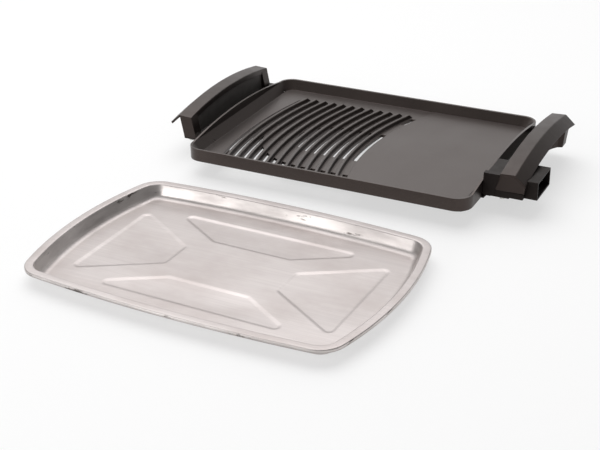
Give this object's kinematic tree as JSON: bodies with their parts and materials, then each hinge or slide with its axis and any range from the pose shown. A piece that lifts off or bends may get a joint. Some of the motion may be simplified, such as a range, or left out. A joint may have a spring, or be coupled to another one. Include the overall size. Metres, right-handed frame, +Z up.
{
  "type": "electric griddle",
  "caption": "Electric griddle: cast non-stick plate, half curved slotted grill bars and half flat, with arched side handles, a probe socket and a loose pressed steel drip tray.",
  "frame": {"origin": "on the table, at the centre of the griddle's stance, under the centre of the plate", "axes": "+X from the left handle to the right handle and its probe socket, +Y from the front edge to the back, +Z up; the drip tray lies on the table in front, towards -Y"},
  "size_m": [0.523, 0.656, 0.0699],
  "materials": {
    "nonstick": "satin, speckled non-stick coating",
    "sheath": "matt, heat-darkened",
    "nickel": "bright nickel plate",
    "insulator": "matt ceramic",
    "phenolic": "satin moulded phenolic, warm dark grey",
    "phenolic_black": "satin moulded phenolic, black",
    "shield": "dark heat-resistant coat",
    "bracket": "satin black paint",
    "screw": "zinc plated",
    "rubber": "matt",
    "tray_steel": "fine brushed, used"
  },
  "bodies": {
    "griddle": {"griddle_plate": "nonstick", "heating_element": "sheath", "terminal_pin_front": "nickel", "terminal_pin_rear": "nickel", "sensor_sleeve": "sheath", "terminal_block": "insulator", "probe_shroud": "phenolic_black", "handle_left": "phenolic", "handle_right": "phenolic", "heat_shield_left": "shield", "heat_shield_right": "shield", "bracket_front_left": "bracket", "bracket_front_right": "bracket", "bracket_rear_left": "bracket", "bracket_rear_right": "bracket", "plate_screws": "screw", "leg_screws": "screw", "shroud_screws": "screw", "foot_screws": "screw", "foot_front_left": "phenolic_black", "foot_pad_front_left": "rubber", "foot_front_right": "phenolic_black", "foot_pad_front_right": "rubber", "foot_rear_left": "phenolic_black", "foot_pad_rear_left": "rubber", "foot_rear_right": "phenolic_black", "foot_pad_rear_right": "rubber"},
    "tray": {"drip_tray": "tray_steel"}
  },
  "joints": [
    {"name": "tray_slide", "type": "slide", "parent": "griddle", "child": "tray", "axis": [-0.0227, -0.9997, 0], "range_m": [-0.09, 0.15]}
  ]
}
